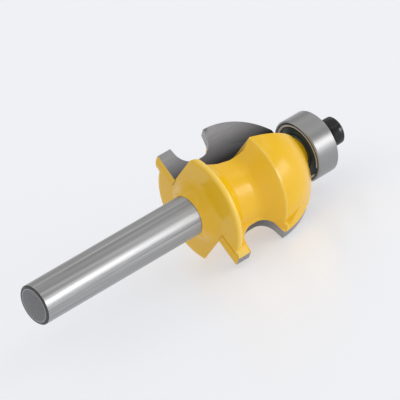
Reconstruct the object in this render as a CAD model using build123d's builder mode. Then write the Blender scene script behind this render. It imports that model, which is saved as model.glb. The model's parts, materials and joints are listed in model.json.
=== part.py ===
from build123d import *
from math import acos, atan2, cos, hypot, radians, sin, sqrt, tan
import os

# A two-flute bead and cove router bit with an end pilot bearing, in millimetres and degrees.
# It lies as it comes to rest: on the heel of one lobe and on the nose corner of one tip.
# Stations are distances from the shank's end face along the bit, and radii are from its axis.

# Shank and hub
shank_radius = 4.0
shank_chamfer = 0.25
hub_station = 37.1
hub_fillet = 3.5

# Turned head, painted, everywhere smaller than the cutting profile
flange_rear = 39.4
crest_radius = 11.33
crest_round = 0.75
flank_angle = 56.0
neck_radius = 7.75
neck_round = 2.8
neck_end = 46.9
ridge_station = 51.55
turned_nose_centre = 52.4
turned_nose_radius = 11.3
nose_front = 62.35

# Cutting profile of the carbide tips, on the rake plane
tip_rear = 39.25
tip_flange_radius = 12.6
tip_flange_front = 42.43
cove_station = 46.45
cove_flat = 0.9
cove_centre_radius = 11.7
cove_radius = 3.45
nose_centre = 50.5
nose_centre_radius = -1.95
nose_radius = 14.68
tip_corner_station = 50.73
tip_front = 62.85
tip_root = 4.7
tip_root_rear = 6.9
tip_root_ramp = 42.2
tip_thickness = 1.9
relief_angle = 10.0

# Steel land that backs each tip, and its wider part behind the nose
land_width = 0.85
land_step = 0.35
land_angle = 30.0
land_root = 3.2
land_short = 0.12
nose_land_start = 52.0
nose_land_full = 60.0
nose_land_width = 5.7

# Flute that clears the chips in front of each tip: stations and heights of its floor from the bit's axis
flute_line = [
    (39.4, 7.05),
    (40.5, 6.25),
    (43.4, 5.2),
    (45.0, 4.25),
    (47.2, 3.68),
    (49.8, 3.54),
    (51.65, 4.87),
    (62.35, 1.45),
]

# Pilot end
boss_radius = 3.1
thread_radius = 1.5
thread_clearance = 0.02
hole_depth = 6.6
journal_clearance = 0.01
journal_short = 0.2

# Pilot bearing
bearing_station = 64.4
bearing_width = 4.978
ring_chamfer = 0.25
ball_radius = 1.1905
ball_count = 7
race_clearance = 0.01
groove_ratio = 1.06
shield_seat_radius = 5.85
outer_ring_wall = 0.5
bearing_radius = shield_seat_radius + outer_ring_wall
shield_lip_height = 0.15
shield_lip_radius = shield_seat_radius - shield_lip_height
outer_land_height = 0.67
outer_land_radius = shield_seat_radius - outer_land_height
pitch_depth = 1.485
pitch_radius = shield_seat_radius - pitch_depth
inner_land_depth = 0.815
inner_land_radius = pitch_radius - inner_land_depth
inner_ring_wall = 1.169
bore_radius = inner_land_radius - inner_ring_wall
shield_lip = 0.25
shield_depth = 0.75
shield_thickness = 0.2
shield_dish = 0.25
shield_margin = 0.5
shield_gap = 0.15
clip_radius = 0.14
clip_gap_angle = 24.0
cage_clearance = 0.46
cage_outer = outer_land_radius - cage_clearance
cage_wall = 0.7
cage_inner = cage_outer - cage_wall
cage_back = 1.6
cage_lip = 0.75
pocket_clearance = 0.08

# Washers and socket head screw
washer_radius = 3.25
washer_hole = 1.6
washer_thickness = 1.0
lock_radius = 3.05
lock_hole = 1.6
lock_thickness = 0.8
lock_slit = 0.5
lock_slit_slant = 25.0
screw_head_radius = 2.8
screw_head_height = 3.1
screw_head_chamfer = 0.2
screw_length = 8.0
screw_tip_chamfer = 0.4
socket_flats = 2.5
socket_depth = 1.6

# A cut or blank that is larger than the head by far
clear_of_head = 20.0


def circle_side(centre, radius, station, side):
    """Radius from the axis at which a circle passes a station, on its outer (1) or inner (-1) side."""
    return centre[1] + side * sqrt(radius**2 - (station - centre[0]) ** 2)


def touch_point(centre, radius, point, side):
    """Where the line from a point touches a circle, on one side or the other."""
    run = point[0] - centre[0]
    rise = point[1] - centre[1]
    angle = atan2(rise, run) + side * acos(radius / hypot(run, rise))
    return (centre[0] + radius * cos(angle), centre[1] + radius * sin(angle))


def arc_middle(centre, radius, start, end):
    """Point of an arc halfway between its ends."""
    run = (start[0] + end[0]) / 2 - centre[0]
    rise = (start[1] + end[1]) / 2 - centre[1]
    reach = radius / hypot(run, rise)
    return (centre[0] + run * reach, centre[1] + rise * reach)


def floor_height(station):
    """Height of the flute's floor from the bit's axis at a station."""
    for (start, first), (end, last) in zip(flute_line, flute_line[1:]):
        if station <= end:
            break
    return first + (last - first) * (station - start) / (end - start)


# Resting place: the floor touches the heel of the flange, the heel of the ridge and the tip's corner
ridge_radius = circle_side((turned_nose_centre, 0), turned_nose_radius, ridge_station, 1)
tip_corner_radius = circle_side((nose_centre, nose_centre_radius), nose_radius, tip_corner_station, 1)
flange_heel_station = flange_rear + crest_round
flange_heel = sqrt(crest_radius**2 - floor_height(flange_heel_station) ** 2)
ridge_heel = sqrt(ridge_radius**2 - floor_height(ridge_station) ** 2)
touch_tip = Vector(tip_corner_station, tip_corner_radius, 0)
touch_flange = Vector(flange_heel_station, floor_height(flange_heel_station), flange_heel)
touch_ridge = Vector(ridge_station, floor_height(ridge_station), ridge_heel)
down = (touch_flange - touch_tip).cross(touch_ridge - touch_tip).normalized()
if down.dot(touch_tip) < 0:
    down = down * -1
floor = Plane(origin=(0, 0, 0), x_dir=Vector(1, 0, 0) - down * down.X, z_dir=down * -1)
along = floor.to_local_coords(Vector(1, 0, 0))
into_flute = floor.to_local_coords(Vector(0, 0, 1))

# Each tip's rake plane: x along the bit, y out along the tip, z into the flute in front of it
rake_planes = [
    Plane(origin=(0, 0, 0), x_dir=along, z_dir=into_flute * turn) for turn in (-1, 1)
]
section = rake_planes[1]
bit_axis = Axis((0, 0, 0), along)


def across(station):
    """Plane square to the bit at a station, facing its front end."""
    return Plane(origin=along * station, x_dir=section.y_dir, z_dir=along)


def cutting_profile(inset, rear, root, front):
    """Face of a tip on its rake plane, drawn in by an inset, from its root to its edge."""
    cove_rear = (cove_station - cove_flat / 2, cove_centre_radius)
    cove_front = (cove_station + cove_flat / 2, cove_centre_radius)
    cove = cove_radius + inset
    low = cove_centre_radius - cove
    flange = (tip_flange_front - inset, tip_flange_radius - inset)
    nose_middle = (nose_centre, nose_centre_radius)
    nose = nose_radius - inset
    corner_station = tip_corner_station + inset
    corner = (corner_station, circle_side(nose_middle, nose, corner_station, 1))
    end = (front, circle_side(nose_middle, nose, front, 1))
    start = touch_point(cove_rear, cove, flange, 1)
    rear_low = (cove_rear[0], low)
    front_low = (cove_front[0], low)
    finish = touch_point(cove_front, cove, corner, -1)
    with BuildSketch() as profile:
        with BuildLine():
            Polyline((rear, root), (rear, flange[1]), flange, start)
            ThreePointArc(start, arc_middle(cove_rear, cove, start, rear_low), rear_low)
            Line(rear_low, front_low)
            ThreePointArc(front_low, arc_middle(cove_front, cove, front_low, finish), finish)
            Line(finish, corner)
            ThreePointArc(corner, arc_middle(nose_middle, nose, corner, end), end)
            Polyline(end, (front, root), (rear, root))
        make_face()
    return profile.sketch


def ground_behind(plane, angle):
    """Axis that an edge is ground about, set ahead of the bit's own so that the surface falls away."""
    offset = tip_flange_radius * tan(radians(angle))
    return Axis(plane.from_local_coords((0, 0, offset)), along * -1)


# Steel lands behind the tips, to be joined to the body
lands = []
land_front = tip_front - land_short
land_fall = tan(radians(land_angle))
land_back = tip_thickness + land_width
nose_land_back = tip_thickness + nose_land_width
for plane in rake_planes:
    with BuildPart() as land:
        for depth in (tip_thickness, land_back):
            with BuildSketch(plane.offset(-depth)):
                inset = land_step + (depth - tip_thickness) * land_fall
                add(cutting_profile(inset, flange_rear, land_root, land_front))
        loft(ruled=True)
    lands.append(land.part)
    # Behind the nose the land is the same cone carried on, and its back edge slants away from the tip
    with BuildPart() as nose_land:
        for depth in (tip_thickness, nose_land_back):
            with BuildSketch(plane.offset(-depth)):
                with Locations((nose_centre, nose_centre_radius)):
                    Circle(nose_radius - land_step - (depth - tip_thickness) * land_fall)
        loft(ruled=True)
        seen_from_edge = Plane(
            origin=plane.from_local_coords((0, land_root, 0)), x_dir=along, z_dir=plane.y_dir
        )
        with BuildSketch(seen_from_edge):
            with BuildLine():
                Polyline(
                    (nose_land_start, tip_thickness),
                    (nose_land_start, land_back),
                    (nose_land_full, nose_land_back),
                    (land_front, nose_land_back),
                    (land_front, tip_thickness),
                    (nose_land_start, tip_thickness),
                )
            make_face()
        extrude(amount=clear_of_head, mode=Mode.INTERSECT)
    lands.append(nose_land.part)

# One steel body: shank, hub, turned head and lands, then the boss and bearing journal
journal_end = bearing_station + bearing_width - journal_short
journal_radius = bore_radius - journal_clearance
hub_centre_station = flange_rear - hub_fillet
hub_top = shank_radius + sqrt(hub_fillet**2 - (hub_station - hub_centre_station) ** 2)
hub_middle = (atan2(shank_radius - hub_top, hub_station - hub_centre_station)) / 2
lean = radians(flank_angle)
crest_centre = (flange_rear + crest_round, crest_radius - crest_round)
crest_start = (flange_rear, crest_centre[1])
crest_end = (crest_centre[0] + crest_round * sin(lean), crest_centre[1] + crest_round * cos(lean))
crest_turn = radians(135 - flank_angle / 2)
crest_top = (
    crest_centre[0] + crest_round * cos(crest_turn),
    crest_centre[1] + crest_round * sin(crest_turn),
)
neck_height = neck_radius + neck_round
flank_end_radius = neck_height - neck_round * cos(lean)
flank_end = (crest_end[0] + (crest_end[1] - flank_end_radius) / tan(lean), flank_end_radius)
neck_rear = (flank_end[0] + neck_round * sin(lean), neck_height)
neck_front = (neck_end, neck_height)
neck_start = (neck_rear[0], neck_radius)
neck_finish = (neck_end, neck_radius)
ridge = (ridge_station, ridge_radius)
ridge_foot = touch_point(neck_front, neck_round, ridge, -1)
turned_nose = (turned_nose_centre, 0)
nose_end = (nose_front, circle_side(turned_nose, turned_nose_radius, nose_front, 1))

with BuildPart() as cutter_body:
    with BuildSketch(section):
        with BuildLine():
            Polyline(
                (0, 0),
                (0, shank_radius - shank_chamfer),
                (shank_chamfer, shank_radius),
                (hub_station, shank_radius),
            )
            ThreePointArc(
                (hub_station, shank_radius),
                (hub_centre_station + hub_fillet * cos(hub_middle), hub_top + hub_fillet * sin(hub_middle)),
                (flange_rear, hub_top),
            )
            Line((flange_rear, hub_top), crest_start)
            ThreePointArc(crest_start, crest_top, crest_end)
            Line(crest_end, flank_end)
            ThreePointArc(flank_end, arc_middle(neck_rear, neck_round, flank_end, neck_start), neck_start)
            Line(neck_start, neck_finish)
            ThreePointArc(
                neck_finish,
                arc_middle(neck_front, neck_round, neck_finish, ridge_foot),
                ridge_foot,
            )
            Line(ridge_foot, ridge)
            ThreePointArc(ridge, arc_middle(turned_nose, turned_nose_radius, ridge, nose_end), nose_end)
            Polyline(nose_end, (nose_front, 0), (0, 0))
        make_face()
    revolve(axis=bit_axis)
    for land in lands:
        add(land)
    for plane in rake_planes:
        # The flute's floor is square to the rake plane and runs out through the flange on a ramp
        with BuildSketch(plane):
            with BuildLine():
                Polyline(
                    (flange_rear - clear_of_head, clear_of_head),
                    (flange_rear - clear_of_head, flute_line[0][1]),
                    *flute_line,
                    (bearing_station, flute_line[-1][1]),
                    (bearing_station, clear_of_head),
                    (flange_rear - clear_of_head, clear_of_head),
                )
            make_face()
        extrude(amount=clear_of_head, mode=Mode.SUBTRACT)
        # Seat that the tip is brazed into
        with BuildSketch(plane):
            with BuildLine():
                Polyline(
                    (hub_station, tip_root_rear),
                    (tip_rear, tip_root_rear),
                    (tip_root_ramp, tip_root),
                    (bearing_station, tip_root),
                    (bearing_station, clear_of_head),
                    (hub_station, clear_of_head),
                    (hub_station, tip_root_rear),
                )
            make_face()
        extrude(amount=-tip_thickness, mode=Mode.SUBTRACT)
    with BuildSketch(section):
        with BuildLine():
            Polyline(
                (nose_front, 0),
                (nose_front, boss_radius),
                (bearing_station, boss_radius),
                (bearing_station, journal_radius),
                (journal_end - ring_chamfer, journal_radius),
                (journal_end, journal_radius - ring_chamfer),
                (journal_end, 0),
                (nose_front, 0),
            )
        make_face()
    revolve(axis=bit_axis)
    with BuildSketch(across(journal_end)):
        Circle(thread_radius + thread_clearance)
    extrude(amount=-hole_depth, mode=Mode.SUBTRACT)
cutter_body.part.label = "cutter_body"

# Carbide tips
tips = []
for number, plane in enumerate(rake_planes, start=1):
    with BuildPart() as tip:
        with BuildSketch(plane):
            add(cutting_profile(0, tip_rear, land_root, tip_front))
        revolve(axis=ground_behind(plane, relief_angle), revolution_arc=60)
        with BuildSketch(plane):
            with BuildLine():
                Polyline(
                    (tip_rear, tip_root_rear),
                    (tip_root_ramp, tip_root),
                    (bearing_station, tip_root),
                    (bearing_station, clear_of_head),
                    (tip_rear, clear_of_head),
                    (tip_rear, tip_root_rear),
                )
            make_face()
        extrude(amount=-tip_thickness, mode=Mode.INTERSECT)
    tip.part.label = f"carbide_tip_{number}"
    tips.append(tip.part)

# Pilot bearing
bearing_end = bearing_station + bearing_width
bearing_middle = bearing_station + bearing_width / 2
groove_radius = ball_radius * groove_ratio
inner_groove_centre = pitch_radius - ball_radius - race_clearance + groove_radius
outer_groove_centre = pitch_radius + ball_radius + race_clearance - groove_radius

with BuildPart() as bearing_inner_ring:
    with BuildSketch(section):
        with Locations((bearing_middle, bore_radius)):
            Rectangle(bearing_width, inner_land_radius - bore_radius, align=(Align.CENTER, Align.MIN))
        chamfer(vertices(), ring_chamfer / 2)
        with Locations((bearing_middle, inner_groove_centre)):
            Circle(groove_radius, mode=Mode.SUBTRACT)
    revolve(axis=bit_axis)
bearing_inner_ring.part.label = "bearing_inner_ring"

with BuildPart() as bearing_outer_ring:
    with BuildSketch(section):
        with Locations((bearing_middle, outer_land_radius)):
            Rectangle(bearing_width, bearing_radius - outer_land_radius, align=(Align.CENTER, Align.MIN))
        chamfer(vertices().group_by(Axis.Y)[-1], ring_chamfer)
        with Locations((bearing_middle, outer_groove_centre)):
            Circle(groove_radius, mode=Mode.SUBTRACT)
        for end, align in ((bearing_station, Align.MIN), (bearing_end, Align.MAX)):
            inward = 1 if align == Align.MIN else -1
            with Locations((end, outer_land_radius - ring_chamfer)):
                Rectangle(
                    shield_depth,
                    shield_lip_radius - outer_land_radius + ring_chamfer,
                    align=(align, Align.MIN),
                    mode=Mode.SUBTRACT,
                )
            with Locations((end + inward * shield_lip, outer_land_radius)):
                Rectangle(
                    shield_depth - shield_lip,
                    shield_seat_radius - outer_land_radius,
                    align=(align, Align.MIN),
                    mode=Mode.SUBTRACT,
                )
    revolve(axis=bit_axis)
bearing_outer_ring.part.label = "bearing_outer_ring"

shields = []
clips = []
for side, end, inward in (("rear", bearing_station, 1), ("front", bearing_end, -1)):
    seat = end + inward * shield_depth
    dish = seat - inward * shield_dish
    with BuildPart() as shield:
        with BuildSketch(section):
            with BuildLine():
                Polyline(
                    (seat, shield_seat_radius),
                    (seat, shield_seat_radius - shield_margin),
                    (dish, shield_seat_radius - shield_margin - shield_dish),
                    (dish, inner_land_radius + shield_gap),
                    (dish - inward * shield_thickness, inner_land_radius + shield_gap),
                    (dish - inward * shield_thickness, shield_seat_radius - shield_margin - shield_dish),
                    (seat - inward * shield_thickness, shield_seat_radius - shield_margin),
                    (seat - inward * shield_thickness, shield_seat_radius),
                    (seat, shield_seat_radius),
                )
            make_face()
        revolve(axis=bit_axis)
    shield.part.label = f"bearing_shield_{side}"
    shields.append(shield.part)
    with BuildPart() as clip:
        with BuildSketch(section):
            clip_station = seat - inward * (shield_thickness + clip_radius)
            with Locations((clip_station, shield_seat_radius - clip_radius)):
                Rectangle(2 * clip_radius, 2 * clip_radius)
        revolve(axis=bit_axis, revolution_arc=360 - clip_gap_angle)
    clip.part.label = f"shield_clip_{side}"
    clips.append(clip.part)

balls = []
ball_spots = [360 / ball_count * turn for turn in range(ball_count)]


def outward(turn):
    """Direction out from the axis, turned about it from tip 2."""
    return section.y_dir * cos(radians(turn)) + section.z_dir * sin(radians(turn))


for number, turn in enumerate(ball_spots, start=1):
    centre = along * bearing_middle + outward(turn) * pitch_radius
    with BuildPart(Plane(origin=centre, x_dir=along, z_dir=outward(turn))) as ball:
        Sphere(ball_radius)
    ball.part.label = f"bearing_ball_{number}"
    balls.append(ball.part)

with BuildPart() as bearing_cage:
    with BuildSketch(section):
        with Locations((bearing_middle - cage_back, cage_inner)):
            Rectangle(cage_back + cage_lip, cage_outer - cage_inner, align=(Align.MIN, Align.MIN))
    revolve(axis=bit_axis)
    for turn in ball_spots:
        with BuildSketch(Plane(origin=along * bearing_middle, x_dir=along, z_dir=outward(turn))):
            Circle(ball_radius + pocket_clearance)
        extrude(amount=bearing_radius, mode=Mode.SUBTRACT)
bearing_cage.part.label = "bearing_cage"

# Washers and screw that clamp the inner ring
lock_station = bearing_end + washer_thickness
head_station = lock_station + lock_thickness
head_end = head_station + screw_head_height

with BuildPart() as flat_washer:
    with BuildSketch(across(bearing_end)):
        Circle(washer_radius)
        Circle(washer_hole, mode=Mode.SUBTRACT)
    extrude(amount=washer_thickness)
flat_washer.part.label = "flat_washer"

with BuildPart() as lock_washer:
    with BuildSketch(across(lock_station)):
        Circle(lock_radius)
        Circle(lock_hole, mode=Mode.SUBTRACT)
    extrude(amount=lock_thickness)
    slit_plane = Plane(origin=along * (lock_station + lock_thickness / 2), x_dir=along, z_dir=section.y_dir)
    with BuildSketch(slit_plane):
        Rectangle(lock_thickness * 3, lock_slit, rotation=lock_slit_slant)
    extrude(amount=lock_radius * 2, mode=Mode.SUBTRACT)
lock_washer.part.label = "lock_washer"

with BuildPart() as pilot_screw:
    with BuildSketch(section):
        with BuildLine():
            Polyline(
                (head_station - screw_length, 0),
                (head_station - screw_length, thread_radius - screw_tip_chamfer),
                (head_station - screw_length + screw_tip_chamfer, thread_radius),
                (head_station, thread_radius),
                (head_station, screw_head_radius),
                (head_end - screw_head_chamfer, screw_head_radius),
                (head_end, screw_head_radius - screw_head_chamfer),
                (head_end, 0),
                (head_station - screw_length, 0),
            )
        make_face()
    revolve(axis=bit_axis)
    with BuildSketch(across(head_end)):
        RegularPolygon(socket_flats / 2, 6, major_radius=False)
    extrude(amount=-socket_depth, mode=Mode.SUBTRACT)
pilot_screw.part.label = "pilot_screw"

pieces = [cutter_body.part, *tips, bearing_inner_ring.part, bearing_outer_ring.part]
pieces += [*shields, *clips, bearing_cage.part, *balls]
pieces += [flat_washer.part, lock_washer.part, pilot_screw.part]

os.makedirs("parts", exist_ok=True)
for piece in pieces:
    export_step(piece, f"parts/{piece.label}.step")
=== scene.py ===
import bmesh
import bpy
import json
from math import cos, pi, radians, sin, tau
from mathutils import Matrix, Vector

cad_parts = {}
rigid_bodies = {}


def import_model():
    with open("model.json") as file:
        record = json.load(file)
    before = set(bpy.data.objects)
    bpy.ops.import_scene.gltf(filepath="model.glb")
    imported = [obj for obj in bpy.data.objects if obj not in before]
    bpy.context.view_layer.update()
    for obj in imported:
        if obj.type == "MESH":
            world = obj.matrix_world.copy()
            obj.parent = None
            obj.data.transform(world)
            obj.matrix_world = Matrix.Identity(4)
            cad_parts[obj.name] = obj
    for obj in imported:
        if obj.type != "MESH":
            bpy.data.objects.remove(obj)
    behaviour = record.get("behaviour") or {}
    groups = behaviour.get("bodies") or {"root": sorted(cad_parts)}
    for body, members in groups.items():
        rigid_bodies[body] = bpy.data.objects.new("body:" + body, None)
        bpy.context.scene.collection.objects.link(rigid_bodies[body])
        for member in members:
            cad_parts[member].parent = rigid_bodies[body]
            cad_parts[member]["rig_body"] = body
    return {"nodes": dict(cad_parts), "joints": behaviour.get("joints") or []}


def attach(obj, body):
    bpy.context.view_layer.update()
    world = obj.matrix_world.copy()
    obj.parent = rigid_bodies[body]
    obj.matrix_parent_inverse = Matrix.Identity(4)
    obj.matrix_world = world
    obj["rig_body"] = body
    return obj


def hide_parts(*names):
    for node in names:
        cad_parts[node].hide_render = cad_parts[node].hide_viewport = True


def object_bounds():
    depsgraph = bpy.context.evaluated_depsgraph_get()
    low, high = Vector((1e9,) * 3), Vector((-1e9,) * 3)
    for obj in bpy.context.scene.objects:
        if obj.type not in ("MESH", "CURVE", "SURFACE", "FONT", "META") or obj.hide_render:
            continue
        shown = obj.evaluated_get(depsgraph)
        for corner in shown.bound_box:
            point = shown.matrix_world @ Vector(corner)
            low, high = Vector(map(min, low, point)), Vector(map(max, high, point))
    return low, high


bl_info = {
    "name": "Router Bit Finish",
    "version": (1, 0, 0),
    "blender": (4, 5, 0),
    "location": "View3D > Sidebar > Router Bit",
    "description": "Finishes, stage, light and camera for a coated router bit with a pilot bearing",
    "category": "Object",
}

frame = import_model()
cad_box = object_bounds()

# The bit's own axis, from its shank to its pilot bearing, and how far tip 2 is turned about it
ALONG = Vector(frame["joints"][0]["axis"]).normalized()
TIP_TURN = radians(232.376)

# Stations along the bit from the end of its shank, in metres
SAWN_END = 0.00024
# From here to the coating the shank is painted darker, as a painted dark reflection of the head
HEAD_REFLECTION_START = 0.03695
COAT_START = 0.0371
TIP_GROUND_START = 0.03932
FLANGE_END = 0.045
HEAD_MIDDLE = 0.046
RIDGE = 0.0516
SNAP_RING_REAR = 0.06467
SNAP_RING_FRONT = 0.069108

# Distances from the bit's axis, in metres
# The shank's end face carries a painted highlight line from here out to its chamfer
RIM_HIGHLIGHT_START = 0.00322
CHAMFER_START = 0.00338
SNAP_RING_RADIUS = 0.00543
# Nearer the axis than this the bearing rings are painted near black, as painted shade
RING_SHADE_RADIUS = 0.00606
RIDGE_FOOT = 0.0088
# Painted highlight on the crest: from where it starts to where it is full, measured from the axis
CREST_HIGHLIGHT_REACH = (0.0109, 0.0113)
# The carbide's painted reflection goes from dark to bright between these distances
TIP_REFLECTION_SPAN = (0.0058, 0.0112)

# Half widths, in metres: the painted highlight line on the ridge from its border to its middle, and a tip's
# ground part
RIDGE_HIGHLIGHT_WIDTH = (0.00032, 0.0001)
TIP_GROUND_HALF = 0.00188

# Noise, in bumps per metre, or in bumps per metre along and across the bit where it is drawn out to lines
COAT_WAVE = 900.0
COAT_PEEL = 2600.0
SAWN_MOTTLE = 1500.0
FINE_GRAIN = 3000.0
TURNED_LINES = (60000.0, 300.0, 300.0)
DRAWN_LINES = (18.0, 1700.0, 1700.0)
TIP_LINES = (260.0, 9000.0, 9000.0)
DRAWN_CONTRAST = (0.34, 0.66)
LINE_DEPTH = 0.00001

# Darkest and lightest shares of a colour
COAT_TONES = (0.96, 1.04)
SHANK_TONES = (0.62, 1.26)
# The end face and the chamfer of the shank are painted darker than the steel
END_FACE_TONES = (0.26, 0.56)
CHAMFER_TONES = (0.08, 0.36)
RING_TONES = (0.9, 1.06)
# Painted reflection on the carbide: bright towards a tip's edge, dark at its root
TIP_BRIGHT_REFLECTION_TONES = (0.95, 2.1)
TIP_DARK_REFLECTION_TONES = (0.08, 0.22)
GRAIN_TONES = (0.88, 1.12)
# Painted highlight line round the rim of the shank's end face
RIM_HIGHLIGHT_TONE = 0.85
# Painted dark reflection of the head on the shank next to it
HEAD_REFLECTION_TONE = 0.4

# Corners of a solid's triangles nearer than this are one corner, in metres
JOIN_DISTANCE = 1e-7
# An edge sharper than this angle is rounded, or else stays sharp
SHARP_ANGLE = radians(25.0)
WIRE_SHARP_ANGLE = radians(50.0)
EDGE_SEGMENTS = 3
WIRE_SIDES = 12
WIRE_STEPS = 120

FLOOR_HALF = 4.0
FLOOR_DROP = 0.00002
# Tone of the room by the height that a direction climbs: walls, a dark gap, the ceiling's panel, the ceiling
SKY_BANDS = [(0.0, 0.95), (0.22, 0.9), (0.42, 0.6), (0.58, 0.66), (0.7, 1.3), (0.85, 0.84), (1.0, 0.84)]
# Directions from the head in degrees, distance and size in metres
SIDE_BOX = {"azimuth": -57.0, "elevation": 4.0, "distance": 1.0, "size": (0.8, 0.46)}
GLINT_BOX = {"azimuth": -72.0, "elevation": 7.0, "distance": 1.0, "size": (0.14, 0.26)}
FILL_BOX = {"azimuth": -48.0, "elevation": 34.0, "distance": 1.2, "size": (0.8, 0.8)}


def bit_frame():
    """Rotation from the world to the bit: x along it, y out along tip 2, z into the flute of tip 2."""
    level = Vector((0, 1, 0))
    upright = ALONG.cross(level)
    out = level * cos(TIP_TURN) + upright * sin(TIP_TURN)
    return Matrix((ALONG, out, ALONG.cross(out)))


BIT = bit_frame()


class Wire:
    """A value in a node tree. Arithmetic on it adds the Math nodes."""

    def __init__(self, graph, socket):
        self.graph = graph
        self.socket = socket

    def math(self, operation, *values):
        return self.graph.node("ShaderNodeMath", {"operation": operation}, dict(enumerate((self, *values))))

    def __add__(self, other):
        return self.math("ADD", other)

    __radd__ = __add__

    def __mul__(self, other):
        return self.math("MULTIPLY", other)

    __rmul__ = __mul__

    def __sub__(self, other):
        return self.math("SUBTRACT", other)

    def __rsub__(self, other):
        return self.graph.node("ShaderNodeMath", {"operation": "SUBTRACT"}, {0: other, 1: self})

    def __abs__(self):
        return self.math("ABSOLUTE")


class Graph:
    """A node tree being put together."""

    def __init__(self, tree):
        self.tree = tree

    def node(self, kind, settings=None, inputs=None, output=0):
        """Add a node with its settings and inputs, and give one of its outputs as a Wire."""
        new = self.tree.nodes.new(kind)
        for key, value in (settings or {}).items():
            if key == "stops":
                ramp = new.color_ramp
                while len(ramp.elements) < len(value):
                    ramp.elements.new(0.5)
                for element, (place, colour) in zip(ramp.elements, value):
                    element.position = place
                    element.color = colour
            else:
                setattr(new, key, value)
        for key, value in (inputs or {}).items():
            self.feed(new.inputs[key], value)
        return Wire(self, new.outputs[output])

    def feed(self, socket, value):
        """Link a Wire to a socket, or set the socket to a plain value."""
        if isinstance(value, Wire):
            self.tree.links.new(value.socket, socket)
        else:
            socket.default_value = value


class Finish(Graph):
    """A material being put together round one Principled shader."""

    def __init__(self, name):
        self.material = bpy.data.materials.new(name)
        self.material.use_nodes = True
        super().__init__(self.material.node_tree)
        self.shader = self.tree.nodes["Principled BSDF"]

    def set(self, **values):
        """Set the shader's sockets: base_color sets Base Color."""
        for key, value in values.items():
            self.feed(self.shader.inputs[key.replace("_", " ").title().replace("Ior", "IOR")], value)
        return self

    def place(self):
        """Where a point is on the bit: x along it, y and z across it, in metres."""
        turn = BIT.to_euler("XYZ")
        at = self.node("ShaderNodeTexCoord", output="Object")
        return self.node("ShaderNodeMapping", {"vector_type": "POINT"}, {"Vector": at, "Rotation": turn})

    def split(self, vector):
        """The three parts of a vector."""
        return [self.node("ShaderNodeSeparateXYZ", inputs={0: vector}, output=part) for part in "XYZ"]

    def noise(self, vector, scale, detail=2.0, roughness=0.5):
        """Noise from 0 to 1, with scale in bumps per metre."""
        sockets = {"Vector": vector, "Scale": scale, "Detail": detail, "Roughness": roughness}
        return self.node("ShaderNodeTexNoise", inputs=sockets)

    def lines(self, vector, bumps, detail, roughness=0.5):
        """Noise from 0 to 1, with bumps per metre along and across the bit."""
        drawn_out = self.node("ShaderNodeMapping", inputs={"Vector": vector, "Scale": bumps})
        return self.noise(drawn_out, 1.0, detail, roughness)

    def rise(self, value, start, end):
        """0 where a value hasn't come to the start, rising to 1 at the end and past it."""
        return self.node("ShaderNodeMapRange", inputs={0: value, 1: start, 2: end})

    def blend(self, factor, first, second):
        """Mix of two colours."""
        return self.node("ShaderNodeMix", {"data_type": "RGBA"}, {0: factor, 6: first, 7: second}, output=2)

    def tones(self, factor, colour, shares):
        """A colour from its darkest share to its lightest."""
        darkest, lightest = shares
        return self.blend(factor, tinted(colour, darkest), tinted(colour, lightest))

    def bump(self, height, strength):
        """Normal raised by a height from 0 to 1."""
        sockets = {"Height": height, "Strength": strength, "Distance": LINE_DEPTH}
        return self.node("ShaderNodeBump", inputs=sockets)


def rgba(colour):
    """Four numbers from a colour property."""
    return (*colour[:3], 1.0)


def tinted(colour, share):
    """A colour made lighter or darker."""
    return tuple(min(1.0, part * share) for part in colour[:3]) + (1.0,)


def from_axis(y, z):
    """How far a point is from the bit's axis."""
    return (y * y + z * z).math("SQRT")


def adopt(piece, node, finish):
    """Put a finished piece in place of the solid it was made from, on the same body."""
    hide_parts(node)
    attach(piece, piece["body"])
    piece.data.materials.clear()
    piece.data.materials.append(finish.material)
    for face in piece.data.polygons:
        face.material_index = 0


def new_piece(name, shape, node, sharp_angle):
    """An object from a bmesh, smooth but for its sharp edges, with the body that its solid rides on."""
    for face in shape.faces:
        face.smooth = True
    mesh = bpy.data.meshes.new(name)
    shape.to_mesh(mesh)
    shape.free()
    mesh.set_sharp_from_angle(angle=sharp_angle)
    piece = bpy.data.objects.new(name, mesh)
    bpy.context.scene.collection.objects.link(piece)
    piece["body"] = frame["nodes"][node]["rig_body"]
    return piece


def softened(node, name, edge=0.0):
    """A smooth copy of a solid, joined up from its loose triangles, with its sharp edges rounded."""
    shape = bmesh.new()
    shape.from_mesh(frame["nodes"][node].data)
    bmesh.ops.remove_doubles(shape, verts=shape.verts, dist=JOIN_DISTANCE)
    bmesh.ops.dissolve_degenerate(shape, edges=shape.edges, dist=JOIN_DISTANCE)
    piece = new_piece(name, shape, node, SHARP_ANGLE)
    if edge:
        bevel = piece.modifiers.new("Rounded Edges", "BEVEL")
        bevel.limit_method = "ANGLE"
        bevel.angle_limit = SHARP_ANGLE
        bevel.width = edge
        bevel.segments = EDGE_SEGMENTS
        bevel.use_clamp_overlap = True
        bevel.harden_normals = False
    return piece


def snap_ring(node, name, station, wire, gap):
    """Open ring of round wire about the bit's axis, in place of the solid one."""
    shape = bmesh.new()
    bmesh.ops.create_circle(shape, segments=WIRE_SIDES, radius=wire)
    bmesh.ops.transform(shape, matrix=BIT.transposed().to_4x4(), verts=shape.verts)
    bmesh.ops.translate(shape, vec=ALONG * station + Vector(BIT[1]) * SNAP_RING_RADIUS, verts=shape.verts)
    bmesh.ops.spin(
        shape, geom=shape.verts[:] + shape.edges[:], cent=(0, 0, 0), axis=ALONG,
        angle=tau - gap, steps=WIRE_STEPS,
    )
    bmesh.ops.holes_fill(shape, edges=[edge for edge in shape.edges if edge.is_boundary], sides=0)
    bmesh.ops.recalc_face_normals(shape, faces=shape.faces)
    return new_piece(name, shape, node, WIRE_SHARP_ANGLE)


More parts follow.
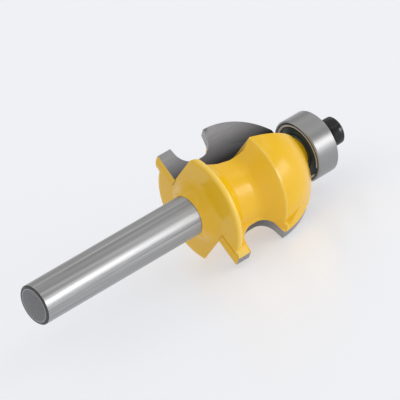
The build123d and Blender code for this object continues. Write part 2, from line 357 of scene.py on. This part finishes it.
def softbox(name, glow, azimuth, elevation, distance, size, glossy=True, diffuse=True):
    """Box of light that faces the head from a direction, unseen by the camera itself."""
    width, height = size
    light = bpy.data.lights.new(name, "AREA")
    light.shape = "RECTANGLE"
    light.size = width
    light.size_y = height
    light.energy = glow * pi * width * height
    holder = bpy.data.objects.new(name, light)
    turn, lift = radians(azimuth), radians(elevation)
    out = Vector((cos(turn) * cos(lift), sin(turn) * cos(lift), sin(lift)))
    holder.location = ALONG * HEAD_MIDDLE + out * distance
    holder.rotation_euler = out.to_track_quat("Z", "Y").to_euler()
    holder.visible_camera = False
    holder.visible_glossy = glossy
    holder.visible_diffuse = diffuse
    bpy.context.scene.collection.objects.link(holder)


class RouterBitFinishSettings(bpy.types.PropertyGroup):
    """Sizes, colours and roughness of the bit's finishes."""

    edge_round: bpy.props.FloatProperty(
        name="Edge Round", description="Width of the rounded edges under the coating", default=0.00012,
        min=0, unit="LENGTH",
    )
    wire_radius: bpy.props.FloatProperty(
        name="Wire Radius", description="Half the thickness of the snap rings' wire", default=0.00025,
        min=0, unit="LENGTH",
    )
    wire_gap: bpy.props.FloatProperty(
        name="Wire Gap", description="Opening between the ends of a snap ring", default=radians(24.0),
        min=0, subtype="ANGLE",
    )
    coat: bpy.props.FloatVectorProperty(
        name="Coat", description="Colour of the coating on the head", subtype="COLOR", size=3,
        default=(0.875, 0.512, 0.003), min=0, max=1,
    )
    # Colour of the painted highlight on the crest and the ridge of the coating
    coat_highlight: bpy.props.FloatVectorProperty(
        name="Coat Highlight", description="Colour of the coating where the crest and the ridge show a painted highlight",
        subtype="COLOR", size=3, default=(0.95, 0.68, 0.16), min=0, max=1,
    )
    coat_roughness: bpy.props.FloatProperty(
        name="Coat Roughness", description="How matt the coating is", default=0.21,
        min=0, max=1, subtype="FACTOR",
    )
    steel: bpy.props.FloatVectorProperty(
        name="Steel", description="Colour of the ground steel", subtype="COLOR", size=3,
        default=(0.42, 0.42, 0.42), min=0, max=1,
    )
    steel_roughness: bpy.props.FloatProperty(
        name="Steel Roughness", description="How matt the ground steel is", default=0.36,
        min=0, max=1, subtype="FACTOR",
    )
    # Painted shade on the bearing rings, nearer the axis, between the head and the bearing
    ring_shade: bpy.props.FloatVectorProperty(
        name="Ring Shade", description="Colour of the bearing rings where shade is painted on them",
        subtype="COLOR", size=3, default=(0.03, 0.045, 0.055), min=0, max=1,
    )
    carbide: bpy.props.FloatVectorProperty(
        name="Carbide", description="Colour of the ground carbide", subtype="COLOR", size=3,
        default=(0.235, 0.23, 0.235), min=0, max=1,
    )
    black: bpy.props.FloatVectorProperty(
        name="Black Oxide", description="Colour of the screw", subtype="COLOR", size=3,
        default=(0.006, 0.006, 0.007), min=0, max=1,
    )
    # Painted shade: the steel shields are coloured dark, standing in for the head's shade on them
    shield: bpy.props.FloatVectorProperty(
        name="Shield", description="Colour of the bearing shields", subtype="COLOR", size=3,
        default=(0.032, 0.052, 0.058), min=0, max=1,
    )
    # Painted highlight: the snap rings are pale and bright in place of the highlight on steel wire
    wire: bpy.props.FloatVectorProperty(
        name="Wire", description="Colour of the snap rings", subtype="COLOR", size=3,
        default=(0.62, 0.62, 0.76), min=0, max=1,
    )
    ball: bpy.props.FloatVectorProperty(
        name="Ball", description="Colour of the bearing balls", subtype="COLOR", size=3,
        default=(0.6, 0.6, 0.62), min=0, max=1,
    )
    cage: bpy.props.FloatVectorProperty(
        name="Cage", description="Colour of the ball cage", subtype="COLOR", size=3,
        default=(0.18, 0.17, 0.15), min=0, max=1,
    )


class RouterBitStageSettings(bpy.types.PropertyGroup):
    """The floor, the lights and the camera."""

    floor_tone: bpy.props.FloatVectorProperty(
        name="Floor", description="Colour of the floor", subtype="COLOR", size=3,
        default=(0.49, 0.49, 0.49), min=0, max=1,
    )
    floor_glow: bpy.props.FloatVectorProperty(
        name="Floor Glow", description="Light of the floor's own, as a sheet lit from below gives",
        subtype="COLOR", size=3, default=(0.445, 0.455, 0.485), min=0, max=1,
    )
    room_light: bpy.props.FloatProperty(
        name="Room Light", description="Strength of the light from all round", default=0.82, min=0,
    )
    side_light: bpy.props.FloatProperty(
        name="Side Light", description="Brightness of the low box of light at the side", default=2.45, min=0,
    )
    glint_light: bpy.props.FloatProperty(
        name="Glint Light", description="Brightness of the narrow light that shows in the coating",
        default=6.5, min=0,
    )
    fill_light: bpy.props.FloatProperty(
        name="Fill Light", description="Brightness of the soft light in front of the bit", default=1.1, min=0,
    )
    lens: bpy.props.FloatProperty(
        name="Lens", description="Focal length in millimetres on a 36 mm sensor", default=377.24,
        min=20, unit="CAMERA",
    )
    camera_place: bpy.props.FloatVectorProperty(
        name="Camera Place", description="Where the camera stands", subtype="TRANSLATION", unit="LENGTH",
        size=3, default=(-0.327028, -0.601470, 0.320809),
    )
    camera_turn: bpy.props.FloatVectorProperty(
        name="Camera Turn", description="How the camera is turned", subtype="EULER", unit="ROTATION",
        size=3, default=(radians(64.06014), radians(18.18171), radians(-40.06644)),
    )


def finish_settings():
    """The finishes' colours and sizes."""
    return bpy.context.scene.router_bit_finish


def coat_colour(finish, looks, place, x, reach):
    """Colour of the coating, slightly uneven, with a painted highlight that makes it paler on the crest and
    the ridge.
    """
    coat = finish.tones(finish.noise(place, COAT_WAVE, 3.0), looks.coat, COAT_TONES)
    # Painted highlight: a paler band on the crest and a pale line along the ridge
    crest = finish.rise(reach, *CREST_HIGHLIGHT_REACH) * x.math("LESS_THAN", FLANGE_END)
    ridge = finish.rise(abs(x - RIDGE), *RIDGE_HIGHLIGHT_WIDTH) * reach.math("GREATER_THAN", RIDGE_FOOT)
    return finish.blend(crest * 0.6 + ridge * 0.4, coat, rgba(looks.coat_highlight))


def shank_colour(finish, looks, place, x, reach, lines):
    """Colour of the shank: drawn, with a darker end face, a painted highlight line round it, a dark chamfer
    outside that, and a painted dark reflection where it meets the head.
    """
    drawn = finish.rise(finish.lines(place, DRAWN_LINES, 4.0, 0.6), *DRAWN_CONTRAST)
    steel = finish.tones(drawn * 0.75 + lines * 0.25, looks.steel, SHANK_TONES)
    # End face painted darker, with a painted highlight line round it and a dark chamfer outside
    mottle = finish.noise(place, SAWN_MOTTLE, 5.0, 0.65)
    end_face = finish.tones(mottle, looks.steel, END_FACE_TONES)
    end_face = finish.blend(reach.math("GREATER_THAN", RIM_HIGHLIGHT_START), end_face, tinted(looks.steel, RIM_HIGHLIGHT_TONE))
    chamfer = finish.tones(mottle, looks.steel, CHAMFER_TONES)
    end_face = finish.blend(reach.math("GREATER_THAN", CHAMFER_START), end_face, chamfer)
    steel = finish.blend(x.math("LESS_THAN", SAWN_END), steel, end_face)
    # Painted dark reflection of the head on the shank, just before the coating
    return finish.blend(x.math("GREATER_THAN", HEAD_REFLECTION_START), steel, tinted(looks.steel, HEAD_REFLECTION_TONE))


def coated_steel(looks):
    """Baked coating with a faint orange peel, over the head; bare ground steel on the shank."""
    finish = Finish("Coated Steel")
    place = finish.place()
    x, y, z = finish.split(place)
    reach = from_axis(y, z)
    bare = x.math("LESS_THAN", COAT_START)
    peel = finish.noise(place, COAT_PEEL, 2.0)
    lines = finish.lines(place, TURNED_LINES, 3.0)
    coat = coat_colour(finish, looks, place, x, reach)
    steel = shank_colour(finish, looks, place, x, reach, lines)
    steel_roughness = looks.steel_roughness - 0.05 + lines * 0.1
    return finish.set(
        base_color=finish.blend(bare, coat, steel),
        metallic=bare,
        specular_ior_level=0.6,
        roughness=(1 - bare) * looks.coat_roughness + bare * steel_roughness,
        normal=finish.bump((1 - bare) * peel * 0.6 + bare * lines * 0.3, 0.25),
    )


def turned_steel(name, looks, share, start=None):
    """Steel ground round the bit's axis. With a start, what is nearer the axis than it is painted near black
    as shade.
    """
    finish = Finish(name)
    place = finish.place()
    lines = finish.lines(place, TURNED_LINES, 3.0)
    colour = finish.tones(lines, looks.steel, [share * tone for tone in RING_TONES])
    ground = 1.0
    if start:
        x, y, z = finish.split(place)
        ground = from_axis(y, z).math("GREATER_THAN", start)
        # Painted shade: near black and not metallic nearer the axis than the start
        colour = finish.blend(ground, rgba(looks.ring_shade), colour)
    return finish.set(
        base_color=colour,
        metallic=ground,
        roughness=looks.steel_roughness - 0.1 + lines * 0.1,
        normal=finish.bump(lines, 0.15),
    )


def ground_carbide(looks):
    """Carbide ground with fine lines along the tip, with a painted reflection dark at its root and bright
    towards its edge, and coated where it isn't ground.
    """
    finish = Finish("Ground Carbide")
    place = finish.place()
    lines = finish.lines(place, TIP_LINES, 4.0)
    x, y, z = finish.split(place)
    ground = x.math("GREATER_THAN", TIP_GROUND_START) * abs(z).math("LESS_THAN", TIP_GROUND_HALF)
    # Painted reflection: dark at the tip's root, bright towards its edge
    bright_reflection = finish.tones(lines, looks.carbide, TIP_BRIGHT_REFLECTION_TONES)
    dark_reflection = finish.tones(lines, looks.carbide, TIP_DARK_REFLECTION_TONES)
    bare = finish.blend(finish.rise(abs(y), *TIP_REFLECTION_SPAN), dark_reflection, bright_reflection)
    return finish.set(
        base_color=finish.blend(ground, rgba(looks.coat), bare),
        metallic=ground,
        roughness=0.34 + lines * 0.12,
        normal=finish.bump(lines, 0.2),
    )


def plain_finish(name, colour, metallic, rough):
    """A finish with a fine grain."""
    finish = Finish(name)
    grains = finish.noise(finish.place(), FINE_GRAIN, 3.0)
    return finish.set(
        base_color=finish.tones(grains, colour, GRAIN_TONES),
        metallic=metallic,
        roughness=rough - 0.05 + grains * 0.1,
        normal=finish.bump(grains, 0.15),
    )


class ROUTERBIT_OT_head(bpy.types.Operator):
    """Finish the coated steel body"""

    bl_idname = "router_bit.head"
    bl_label = "Coated Body"

    def execute(self, context):
        looks = finish_settings()
        piece = softened("cutter_body", "coated_body", looks.edge_round)
        adopt(piece, "cutter_body", coated_steel(looks))
        return {"FINISHED"}


class ROUTERBIT_OT_tips(bpy.types.Operator):
    """Finish the two carbide tips"""

    bl_idname = "router_bit.tips"
    bl_label = "Carbide Tips"

    def execute(self, context):
        finish = ground_carbide(finish_settings())
        for number in (1, 2):
            node = f"carbide_tip_{number}"
            adopt(softened(node, f"ground_tip_{number}"), node, finish)
        return {"FINISHED"}


class ROUTERBIT_OT_bearing(bpy.types.Operator):
    """Finish the pilot bearing and give it its snap rings"""

    bl_idname = "router_bit.bearing"
    bl_label = "Pilot Bearing"

    def execute(self, context):
        looks = finish_settings()
        ring = turned_steel("Ground Ring Steel", looks, 0.84, RING_SHADE_RADIUS)
        # Painted highlight: the wire's pale colour stands in for the highlight on steel wire
        wire = plain_finish("Clip Wire", looks.wire, 0.0, 0.4)
        # Painted shade: the shields are dark in place of the head's shade on steel
        shield = plain_finish("Pressed Shield", looks.shield, 0.0, 0.3).set(specular_ior_level=0.2)
        finishes = {
            "bearing_inner": ring,
            "bearing_outer": ring,
            "bearing_shield": shield,
            "bearing_ball": plain_finish("Polished Ball", looks.ball, 1.0, 0.12),
            "bearing_cage": plain_finish("Moulded Cage", looks.cage, 0.0, 0.5),
        }
        for side, station in (("rear", SNAP_RING_REAR), ("front", SNAP_RING_FRONT)):
            node = f"shield_clip_{side}"
            piece = snap_ring(node, f"snap_ring_{side}", station, looks.wire_radius, looks.wire_gap)
            adopt(piece, node, wire)
        for node in frame["nodes"]:
            for start, finish in finishes.items():
                if node.startswith(start):
                    adopt(softened(node, f"{node}_finished"), node, finish)
        return {"FINISHED"}


class ROUTERBIT_OT_screw(bpy.types.Operator):
    """Finish the screw and its washers"""

    bl_idname = "router_bit.screw"
    bl_label = "Screw and Washers"

    def execute(self, context):
        looks = finish_settings()
        black = plain_finish("Black Oxide", looks.black, 0.0, 0.18)
        washer = turned_steel("Washer Steel", looks, 0.8)
        for node, finish in (("pilot_screw", black), ("flat_washer", washer), ("lock_washer", washer)):
            adopt(softened(node, f"{node}_finished"), node, finish)
        return {"FINISHED"}


class ROUTERBIT_OT_stage(bpy.types.Operator):
    """Set the floor, the lights and the camera"""

    bl_idname = "router_bit.stage"
    bl_label = "Stage"

    def execute(self, context):
        scene = context.scene
        stage = scene.router_bit_stage
        self.lay_floor(scene, stage)
        scene.world = self.room(stage.room_light)
        scene.view_settings.view_transform = "Standard"
        softbox("Side Light", stage.side_light, **SIDE_BOX)
        softbox("Glint Light", stage.glint_light, **GLINT_BOX, diffuse=False)
        softbox("Fill Light", stage.fill_light, **FILL_BOX, glossy=False)
        self.set_camera(scene, stage)
        return {"FINISHED"}

    def lay_floor(self, scene, stage):
        shape = bmesh.new()
        bmesh.ops.create_grid(shape, x_segments=1, y_segments=1, size=FLOOR_HALF)
        bmesh.ops.translate(shape, verts=shape.verts, vec=(0, 0, cad_box[0][2] - FLOOR_DROP))
        mesh = bpy.data.meshes.new("stage_floor")
        shape.to_mesh(mesh)
        shape.free()
        floor = bpy.data.objects.new("stage_floor", mesh)
        scene.collection.objects.link(floor)
        finish = Finish("Stage Floor").set(
            base_color=rgba(stage.floor_tone), roughness=0.3, specular_ior_level=0.5,
            emission_color=rgba(stage.floor_glow), emission_strength=1.0,
        )
        mesh.materials.append(finish.material)

    def room(self, strength):
        """World with a tone for each height that a direction climbs."""
        world = bpy.data.worlds.new("Studio")
        world.use_nodes = True
        graph = Graph(world.node_tree)
        toward = graph.node("ShaderNodeTexCoord", output="Generated")
        height = graph.node("ShaderNodeSeparateXYZ", inputs={0: toward}, output="Z")
        stops = [(place, (tone, tone, tone, 1.0)) for place, tone in SKY_BANDS]
        sky = graph.tree.nodes["Background"]
        graph.feed(sky.inputs["Color"], graph.node("ShaderNodeValToRGB", {"stops": stops}, {0: height}))
        graph.feed(sky.inputs["Strength"], strength)
        return world

    def set_camera(self, scene, stage):
        camera = bpy.data.cameras.new("Camera")
        camera.lens = stage.lens
        camera.sensor_width = 36.0
        camera.clip_start = 0.01
        camera.clip_end = 20.0
        holder = bpy.data.objects.new("Camera", camera)
        holder.location = stage.camera_place
        holder.rotation_euler = stage.camera_turn
        scene.collection.objects.link(holder)
        bpy.context.scene.camera = holder


class ROUTERBIT_PT_panel(bpy.types.Panel):
    """Settings and steps of the router bit"""

    bl_label = "Router Bit"
    bl_idname = "ROUTERBIT_PT_panel"
    bl_space_type = "VIEW_3D"
    bl_region_type = "UI"
    bl_category = "Router Bit"

    def draw(self, context):
        for group in (context.scene.router_bit_finish, context.scene.router_bit_stage):
            for name in group.bl_rna.properties.keys():
                if name not in ("rna_type", "name"):
                    self.layout.prop(group, name)
        for operator in OPERATORS:
            self.layout.operator(operator.bl_idname)


OPERATORS = (
    ROUTERBIT_OT_head,
    ROUTERBIT_OT_tips,
    ROUTERBIT_OT_bearing,
    ROUTERBIT_OT_screw,
    ROUTERBIT_OT_stage,
)
CLASSES = (RouterBitFinishSettings, RouterBitStageSettings, *OPERATORS, ROUTERBIT_PT_panel)


def register():
    for cls in CLASSES:
        bpy.utils.register_class(cls)
    bpy.types.Scene.router_bit_finish = bpy.props.PointerProperty(type=RouterBitFinishSettings)
    bpy.types.Scene.router_bit_stage = bpy.props.PointerProperty(type=RouterBitStageSettings)


def unregister():
    del bpy.types.Scene.router_bit_stage
    del bpy.types.Scene.router_bit_finish
    for cls in reversed(CLASSES):
        bpy.utils.unregister_class(cls)


def main():
    register()
    bpy.ops.router_bit.head()
    bpy.ops.router_bit.tips()
    bpy.ops.router_bit.bearing()
    bpy.ops.router_bit.screw()
    bpy.ops.router_bit.stage()


if __name__ == "__main__":
    main()
